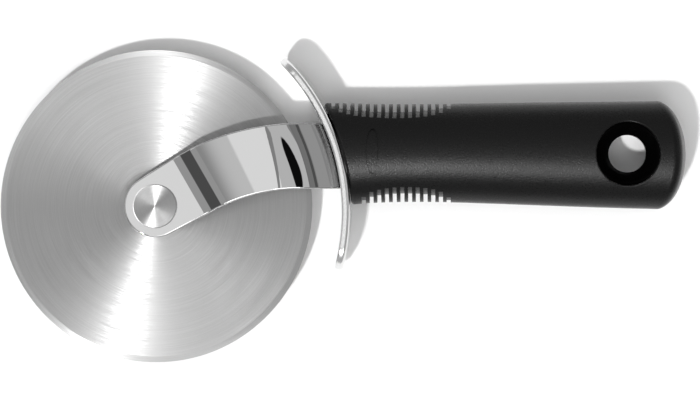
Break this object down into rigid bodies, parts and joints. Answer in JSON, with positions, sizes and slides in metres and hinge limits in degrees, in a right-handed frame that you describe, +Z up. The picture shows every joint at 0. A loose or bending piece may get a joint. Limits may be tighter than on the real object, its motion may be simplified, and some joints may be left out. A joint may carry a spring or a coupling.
{
  "type": "pizza cutter wheel",
  "caption": "Pizza cutter: a bevelled steel disc turning in a polished joggled fork, with a curved thumb guard and an oval soft-grip handle.",
  "frame": {"origin": "centre of the bounding box's bottom face; the cutter lies on its side, so the blade's plane is level", "axes": "+X along the handle, away from the blade; +Z up along the blade's axle; +Y across, towards the handle's offset side"},
  "size_m": [0.2226, 0.1016, 0.0228],
  "materials": {
    "blade_steel": "circular brushed",
    "polished_steel": "mirror polished",
    "axle_steel": "turned, fine circular lines",
    "tang_steel": "mill",
    "hub_plastic": "smooth",
    "core_plastic": "gloss black",
    "grip_rubber": "fine satin grain, black"
  },
  "bodies": {
    "handle_assembly": {"fork": "polished_steel", "thumb_guard": "polished_steel", "tang": "tang_steel", "handle_core": "core_plastic", "grip": "grip_rubber", "axle_barrel": "axle_steel", "axle_screw": "axle_steel", "front_thrust_washer": "hub_plastic", "rear_thrust_washer": "hub_plastic"},
    "wheel": {"blade": "blade_steel", "front_hub_bush": "hub_plastic", "rear_hub_bush": "hub_plastic"}
  },
  "joints": [
    {"name": "wheel_spin", "type": "hinge", "parent": "handle_assembly", "child": "wheel", "pos_m": [-0.06055, 0, 0.0114], "axis": [0, 0, 1], "continuous": true}
  ]
}
